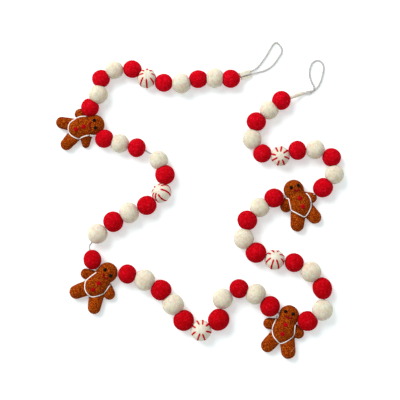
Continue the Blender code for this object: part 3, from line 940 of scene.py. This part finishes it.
def make_tab():
    """A strip of cream felt folded over the string's end, its fold on the upper side."""
    middle = (TAB_SPACE + TAB_THICKNESS) / 2
    bend = TAB_FOLD - middle - TAB_THICKNESS / 2
    line = [(edge, middle) for edge in np.linspace(TAB_UPPER_EDGE, bend, TAB_FOLD_STEPS)]
    for step in range(1, TAB_FOLD_STEPS):
        angle = math.pi * (0.5 - step / TAB_FOLD_STEPS)
        line.append((bend + middle * math.cos(angle), middle * math.sin(angle)))
    for edge in np.linspace(bend, TAB_LOWER_EDGE, TAB_BACK_STEPS):
        rise = min(1.0, max(0.0, (TAB_UPPER_EDGE - TAB_GROOVE - edge) / TAB_GROOVE))
        line.append((edge, -middle + TAB_LIP_RISE * rise * rise * (3 - 2 * rise)))
    line = np.array(line)
    run = runs_along(line)
    square = np.stack((-run[:, 1], run[:, 0]), axis=1)
    half = np.full(len(line), TAB_THICKNESS / 2)
    half[[0, -1]] *= TAB_THIN_EDGE
    ring = np.vstack((line + square * half[:, None], (line - square * half[:, None])[::-1]))
    start, end = placed(*TAB_START), placed(*TAB_END)
    along = unit(end - start)
    across = unit(np.cross(UP, along))
    up = np.cross(along, across)
    points = []
    for step in range(TAB_STEPS + 1):
        share = step / TAB_STEPS
        at_end = step in (0, TAB_STEPS)
        squeeze = TAB_SQUEEZE if at_end else 1.0
        centre = start + (end - start) * share
        for number, place in enumerate(ring):
            wave = TAB_WAVE * noise.noise(Vector((share * 5.0, number * 0.25, 3.0)))
            inner = line[min(number, 2 * len(line) - 1 - number)]
            flat = inner + (place - inner) * squeeze
            ragged = TAB_RAGGED * noise.noise(Vector((number * 0.6, 8.0 * share, 1.0)))
            end_wave = along * ragged * at_end
            points.append(centre + across * flat[0] + up * (flat[1] + wave) + end_wave)
    count = len(ring)
    faces = quads(TAB_STEPS + 1, count)
    for base, flip in ((0, False), (TAB_STEPS * count, True)):
        for number in range(count // 2 - 1):
            face = (base + number, base + count - 1 - number, base + count - 2 - number, base + number + 1)
            faces.append(face[::-1] if flip else face)
    tab = piece("felt_tab", points, faces, "tab", "cotton_string")
    bm = bmesh.new()
    bm.from_mesh(tab.data)
    bmesh.ops.recalc_face_normals(bm, faces=bm.faces)
    bm.to_mesh(tab.data)
    bm.free()
    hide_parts("string")


def direction_at(number, point):
    """The direction from a ball's centre to where a point of the picture shows its upper side."""
    ball = BEADS[number - 1]
    along = string_direction(number)
    across = np.cross(UP, along)
    offset = np.array((*seen(*point), 0.0)) - bead_centre(number) * (1, 1, 0)
    a = offset @ along / (ball.along / 2 * MM)
    c = offset @ across / (ball.across / 2 * MM)
    out = math.hypot(a, c)
    if out > RIM:
        a, c = a / out * RIM, c / out * RIM
    return unit(along * a + across * c + UP * math.sqrt(1 - a * a - c * c))


def make_rays(number):
    """The red stitched rays of a peppermint ball, on round to its far side."""
    pole, rays = RAYS[number]
    pole = direction_at(number, pole)
    shapes = []
    for order, ray in enumerate(rays):
        way = [direction_at(number, point) for point in ray]
        axis = unit(np.cross(way[-2], way[-1]))
        turn = Matrix.Rotation(RAY_TURN, 3, Vector(axis))
        while way[-1] @ pole > math.cos(RAY_REACH) and len(way) < RAY_MOST_POINTS:
            way.append(np.array(turn @ Vector(way[-1])))
            if way[-1] @ pole > way[-2] @ pole and len(way) > RAY_LEAST_POINTS:
                break
        line = ball_points(number, units(even_route(way, RAY_STEP)), detail=False)
        out = units(line - bead_centre(number))
        side = units(np.cross(runs_along(line), out))
        from_start = np.arange(len(line)) / RAY_TAPER
        taper = np.clip(np.minimum(from_start, from_start[::-1]), 0.0, 1.0) ** 0.5
        width = RAY_HALF_WIDTH * taper * (1 + bumps(line, (RAY_UNEVEN,), order))
        height = RAY_HEIGHT * (RAY_LOW_END + (1 - RAY_LOW_END) * taper)
        shapes.append(tube(line - out * RAY_INSET, side, out, np.maximum(width, RAY_THINNEST), height, 10))
    piece(f"rays_{number:02d}", *joined(shapes), "ray", "felt_red")


def clear_of_contacts(roots, planes):
    """Which roots of fibres are away from where the balls beside this one press in."""
    return np.all([(roots - place) @ outward < -CONTACT_CLEAR for place, outward, _ in planes], axis=0)


def near_contacts(roots, planes):
    """Which roots are close beside another ball, where its fibres cling."""
    inside = [(place - roots) @ outward for place, outward, _ in planes]
    return np.any([(depth > LINT_START) & (depth < LINT_REACH) for depth in inside], axis=0)


def make_balls():
    directions, faces = sphere_grid(BALL_SUBDIVISIONS)
    rng = np.random.default_rng(BALL_SEED)
    loose = {"red": [], "cream": [], "peppermint": []}
    for number, bead in enumerate(BEADS, 1):
        if isinstance(bead, Neck):
            continue
        kind = kind_of(number)
        points = ball_points(number, directions)
        ball = piece(f"felt_ball_{number:02d}", points, faces, kind, f"felt_{kind}")
        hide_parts(node_of(number))
        planes = contacts(number)
        loose[kind].append(fuzz(points, faces, BALL_FUZZ, rng, clear_of_contacts, planes))
        if kind == "cream":
            loose["red"].append(fuzz(points, faces, LINT_DENSITY, rng, near_contacts, planes))
        if kind == "peppermint":
            make_rays(number)
    for kind, shapes in loose.items():
        piece(f"loose_fibres_{kind}", *joined(shapes), f"fuzz_{kind}", f"felt_{kind}")


def add_ellipsoid(bm, centre, radii, turn):
    matrix = Matrix.LocRotScale(Vector(centre), Matrix.Rotation(turn, 3, "Z"), Vector(radii))
    bmesh.ops.create_uvsphere(bm, u_segments=32, v_segments=20, radius=1.0, matrix=matrix)


def add_limb(bm, tip, root):
    """An arm or a leg: the skin round a ball at its tip and a flatter one at its root."""
    around = bmesh.new()
    x, y, radius = tip
    add_ellipsoid(around, placed(x, y, TIP_HEIGHT * radius), (radius * MM,) * 3, 0.0)
    x, y, radius = root
    flat = min(radius * MM, ROOT_HEIGHT)
    add_ellipsoid(around, placed(x, y, ROOT_HEIGHT / MM), (radius * MM, radius * MM, flat), 0.0)
    hull = bmesh.ops.convex_hull(around, input=around.verts)
    bmesh.ops.delete(around, geom=hull["geom_interior"], context="VERTS")
    mesh = bpy.data.meshes.new("limb")
    around.to_mesh(mesh)
    around.free()
    bm.from_mesh(mesh)
    bpy.data.meshes.remove(mesh)


def fused_figure(number):
    """Head, belly, arms and legs felted into one body: its points, their directions and its faces."""
    head, belly, limbs = FIGURES[number]
    head, belly = placed(*head, BODY_HEIGHT / MM), placed(*belly, BODY_HEIGHT / MM)
    turn = math.atan2(head[1] - belly[1], head[0] - belly[0])
    bm = bmesh.new()
    add_ellipsoid(bm, head, HEAD_RADII, turn)
    add_ellipsoid(bm, belly, BELLY_RADII, turn)
    add_ellipsoid(bm, (head + belly) / 2, CHEST_RADII, turn)
    for tip, root in limbs:
        add_limb(bm, tip, root)
    mesh = bpy.data.meshes.new("rough_figure")
    bm.to_mesh(mesh)
    bm.free()
    obj = linked("rough_figure", mesh)
    remesh = obj.modifiers.new("fuse", "REMESH")
    remesh.mode = "VOXEL"
    remesh.voxel_size = FIGURE_VOXEL
    smooth = obj.modifiers.new("soften", "SMOOTH")
    smooth.iterations = FIGURE_SMOOTHING
    bpy.context.view_layer.update()
    made = bpy.data.meshes.new_from_object(obj.evaluated_get(bpy.context.evaluated_depsgraph_get()))
    bpy.data.objects.remove(obj, do_unlink=True)
    points = np.array([vert.co for vert in made.vertices])
    normals = np.array([vert.normal for vert in made.vertices])
    faces = [tuple(face.vertices) for face in made.polygons]
    bpy.data.meshes.remove(made)
    return points, normals, faces


def figure_shape(number):
    """The figure's uneven skin, grooved under its icing and dented by the balls beside it."""
    points, normals, faces = fused_figure(number)
    points = points + normals * (bumps(points, FIGURE_DETAIL, number) + FIGURE_SWELL)[:, None]
    groove = icing_way(number)
    for start in range(0, len(points), POINTS_AT_ONCE):
        some = slice(start, start + POINTS_AT_ONCE)
        apart = np.linalg.norm(points[some, None, :2] - groove[None, :, :2], axis=2).min(axis=1)
        depth = GROOVE_DEPTH * np.exp(-((apart / GROOVE_WIDTH) ** 2)) * (normals[some, 2] > 0.0)
        points[some] -= normals[some] * depth[:, None]
    for other in (number - 1, number + 1):
        outward = points - bead_centre(other)
        away = norms(outward)
        clear = ball_reach(other, outward) + FIGURE_GAP
        points = points + outward / away[:, None] * eased(clear - away)[:, None]
    points[:, 2] += eased(-points[:, 2])
    return points, faces


def on_skin(tree, x, y):
    """The skin's point under (x, y), or the nearest to it beside the skin, and its outward direction."""
    hit, normal, _, _ = tree.ray_cast(Vector((x, y, 1.0)), Vector((0.0, 0.0, -1.0)))
    if hit is None:
        hit, normal, _, _ = tree.find_nearest(Vector((x, y, ROOT_HEIGHT)))
    return np.array(hit), np.array(normal)


def skin_under(tree, way):
    """The skin's points under a way, and their outward directions."""
    found = [on_skin(tree, x, y) for x, y, _ in way]
    return np.array([hit for hit, _ in found]), np.array([outward for _, outward in found])


def icing_way(number):
    """The way of the icing cord, seen from above."""
    return even_route(seen_way(FACES[number].icing), 2 * ICING_STEP)


def make_icing(number, tree):
    """The white cord sewn round the belly."""
    way = icing_way(number)
    heights = skin_under(tree, way)[0][:, 2]
    padded = np.concatenate((heights[:1].repeat(2), heights, heights[-1:].repeat(2)))
    way[:, 2] = np.convolve(padded, np.ones(5) / 5, "valid") + ICING_RISE * ICING_RADIUS
    drops = np.array(ICING_END_DROPS) * MM
    way[:2, 2] -= drops
    way[-2:, 2] -= drops[::-1]
    path = even_route(way, ICING_STEP)
    width = ICING_CORE * ICING_RADIUS
    core = tube(path, *sideways(path), width, width, 8)
    strands = twisted(path, ICING_RADIUS, ICING_PITCH)
    piece(f"icing_{number}", *joined((core, strands)), "icing", "cotton_string")


def make_dome(name, centre, outward, radius, height, material, slot, uneven):
    """A small dome that stands on a skin: a felted dot or a bead."""
    directions, faces = sphere_grid(4)
    outward = unit(outward)
    first = unit(np.cross(outward, (0.3, 0.9, 0.1)))
    second = np.cross(outward, first)
    seed = radius * 1e5 + centre[0] * 900
    size = 1 + bumps(directions, ((2.0, uneven),), seed)
    points = (
        centre
        + first * (directions[:, 0] * radius * size)[:, None]
        + second * (directions[:, 1] * radius * size)[:, None]
        + outward * (directions[:, 2] * height * size)[:, None]
    )
    piece(name, points, faces, material, slot)


def make_face(number, tree):
    """Bead eyes, felt buttons and a stitched smile."""
    face = FACES[number]
    for order, point in enumerate(face.eyes, 1):
        centre, outward = on_skin(tree, *seen(*point))
        centre = centre + outward * EYE_RISE * EYE_RADIUS
        height = EYE_DEPTH * EYE_RADIUS
        make_dome(f"eye_{number}_{order}", centre, outward, EYE_RADIUS, height, "eye", "bead_black", 0.0)
    for order, point in enumerate(face.buttons, 1):
        centre, outward = on_skin(tree, *seen(*point))
        make_dome(
            f"button_{number}_{order}", centre, outward, BUTTON_RADIUS, BUTTON_DEPTH * BUTTON_RADIUS,
            "button", "felt_red", BUTTON_UNEVEN,
        )
    arc = even_route(seen_way(face.mouth), STITCH_STEP)
    shapes = []
    for stitch in np.array_split(arc, STITCHES):
        line, outs = skin_under(tree, stitch)
        rise = STITCH_RISE * np.sin(np.linspace(0, math.pi, len(stitch))) + STITCH_END_RISE
        line = line + outs * (STITCH_RADIUS * rise)[:, None]
        runs = runs_along(line)
        side = np.cross(runs, outs)
        breadth = STITCH_RADIUS * STITCH_BREADTH
        shapes.append(tube(line, side, np.cross(side, runs), breadth, STITCH_RADIUS, 8))
    piece(f"smile_{number}", *joined(shapes), "mouth", "felt_red")


def clear_of_balls(roots, centres):
    """Which roots of fibres are away from the balls with these centres."""
    return np.all([norms(roots - centre) > BALL_CLEAR for centre in centres], axis=0)


def make_stray_fibre(tree):
    line, outs = skin_under(tree, even_route(seen_way(STRAY_FIBRE), 0.5 * MM))
    line = line + outs * STRAY_RISE
    shape = tube(line, *sideways(line), STRAY_RADIUS, STRAY_RADIUS, 6)
    piece("stray_fibre", *shape, "stray", "felt_gingerbread")


def make_figures():
    rng = np.random.default_rng(FIGURE_SEED)
    loose = []
    for number in FIGURES:
        points, faces = figure_shape(number)
        body = piece(f"gingerbread_{number}", points, faces, "gingerbread", "felt_gingerbread")
        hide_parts(node_of(number))
        tree = BVHTree.FromPolygons([Vector(point) for point in points], faces)
        make_icing(number, tree)
        make_face(number, tree)
        if number == STRAY_FIGURE:
            make_stray_fibre(tree)
        centres = (bead_centre(number - 1), bead_centre(number + 1))
        triangles = [face[:3] for face in faces]
        loose.append(fuzz(points, triangles, FIGURE_FUZZ, rng, clear_of_balls, centres))
    piece("loose_fibres_gingerbread", *joined(loose), "fuzz_gingerbread", "felt_gingerbread")


def make_stage():
    mesh = bpy.data.meshes.new("floor")
    half = FLOOR_SIZE / 2
    corners = [(-half, -half, 0), (half, -half, 0), (half, half, 0), (-half, half, 0)]
    mesh.from_pydata(corners, [], [(0, 1, 2, 3)])
    floor = linked("floor", mesh)
    material = bpy.data.materials.new("floor")
    material.use_nodes = True
    set_inputs(
        material.node_tree.nodes["Principled BSDF"], Base_Color=(*FLOOR_COLOUR, 1.0), Roughness=0.9,
        Specular_IOR_Level=0.1, Emission_Color=(1.0, 1.0, 1.0, 1.0), Emission_Strength=FLOOR_GLOW,
    )
    mesh.materials.append(material)
    floor.location.z = -FLOOR_DROP


def make_light():
    data = bpy.data.lights.new("key", "AREA")
    data.shape = "DISK"
    data.size = KEY_SIZE
    data.energy = KEY_POWER
    lamp = linked("key", data)
    back = Vector(KEY_FROM).normalized()
    lamp.location = back * KEY_DISTANCE
    lamp.rotation_euler = back.to_track_quat("Z", "Y").to_euler()
    world = bpy.context.scene.world or bpy.data.worlds.new("surround")
    bpy.context.scene.world = world
    world.use_nodes = True
    set_inputs(world.node_tree.nodes["Background"], Color=(1.0, 1.0, 1.0, 1.0), Strength=SURROUND)
    bpy.context.scene.view_settings.view_transform = "Standard"


make_camera()
make_string()
make_whipping()
make_tab()
make_balls()
make_figures()
make_stage()
make_light()
